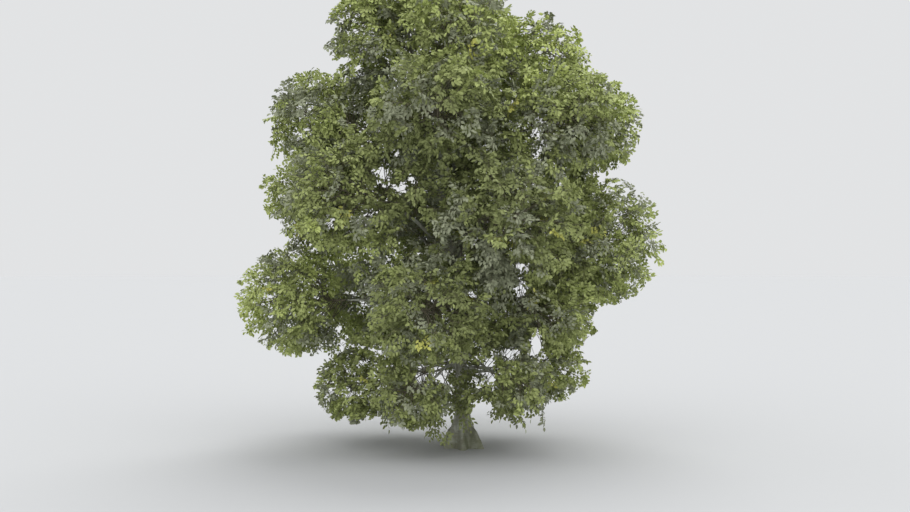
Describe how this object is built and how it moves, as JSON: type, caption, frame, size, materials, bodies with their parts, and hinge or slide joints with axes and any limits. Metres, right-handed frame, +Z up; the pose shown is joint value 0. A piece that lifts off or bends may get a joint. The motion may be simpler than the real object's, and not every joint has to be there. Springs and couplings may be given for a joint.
{
  "type": "american beech tree",
  "caption": "Broad open-grown deciduous tree in summer leaf, with a short flared bole, forked stem and tiers of arching boughs that carry rounded masses of foliage.",
  "frame": {"origin": "middle of the trunk's flat cut at ground level", "axes": "+Z up, +X to the right and -Y towards the viewer of the pictured side"},
  "size_m": [15.6011, 14.089, 18.0004],
  "materials": {
    "bark": "matte",
    "foliage": "satin"
  },
  "bodies": {
    "root": {"bough_lower_back_1": "bark", "bough_lower_back_2": "bark", "bough_lower_front_1": "bark", "bough_lower_front_2": "bark", "bough_lower_left": "bark", "bough_lower_right": "bark", "bough_middle_back_1": "bark", "bough_middle_back_2": "bark", "bough_middle_front_1": "bark", "bough_middle_front_2": "bark", "bough_middle_left": "bark", "bough_middle_right": "bark", "bough_shoulder_back_1": "bark", "bough_shoulder_front_1": "bark", "bough_shoulder_left": "bark", "bough_shoulder_right": "bark", "bough_skirt_back_1": "bark", "bough_skirt_back_2": "bark", "bough_skirt_front_1": "bark", "bough_skirt_front_2": "bark", "bough_skirt_left": "bark", "bough_skirt_right": "bark", "bough_upper_back_1": "bark", "bough_upper_back_2": "bark", "bough_upper_front_1": "bark", "bough_upper_front_2": "bark", "bough_upper_left": "bark", "bough_upper_right": "bark", "co_leader": "bark", "foliage_lower_back_1": "foliage", "foliage_lower_back_2": "foliage", "foliage_lower_front_1": "foliage", "foliage_lower_front_2": "foliage", "foliage_lower_left": "foliage", "foliage_lower_right": "foliage", "foliage_middle_back_1": "foliage", "foliage_middle_back_2": "foliage", "foliage_middle_front_1": "foliage", "foliage_middle_front_2": "foliage", "foliage_middle_left": "foliage", "foliage_middle_right": "foliage", "foliage_shoulder_back_1": "foliage", "foliage_shoulder_front_1": "foliage", "foliage_shoulder_left": "foliage", "foliage_shoulder_right": "foliage", "foliage_skirt_back_1": "foliage", "foliage_skirt_back_2": "foliage", "foliage_skirt_front_1": "foliage", "foliage_skirt_front_2": "foliage", "foliage_skirt_left": "foliage", "foliage_skirt_right": "foliage", "foliage_top_left": "foliage", "foliage_top_right": "foliage", "foliage_upper_back_1": "foliage", "foliage_upper_back_2": "foliage", "foliage_upper_front_1": "foliage", "foliage_upper_front_2": "foliage", "foliage_upper_left": "foliage", "foliage_upper_right": "foliage", "trunk": "bark"}
  },
  "joints": []
}
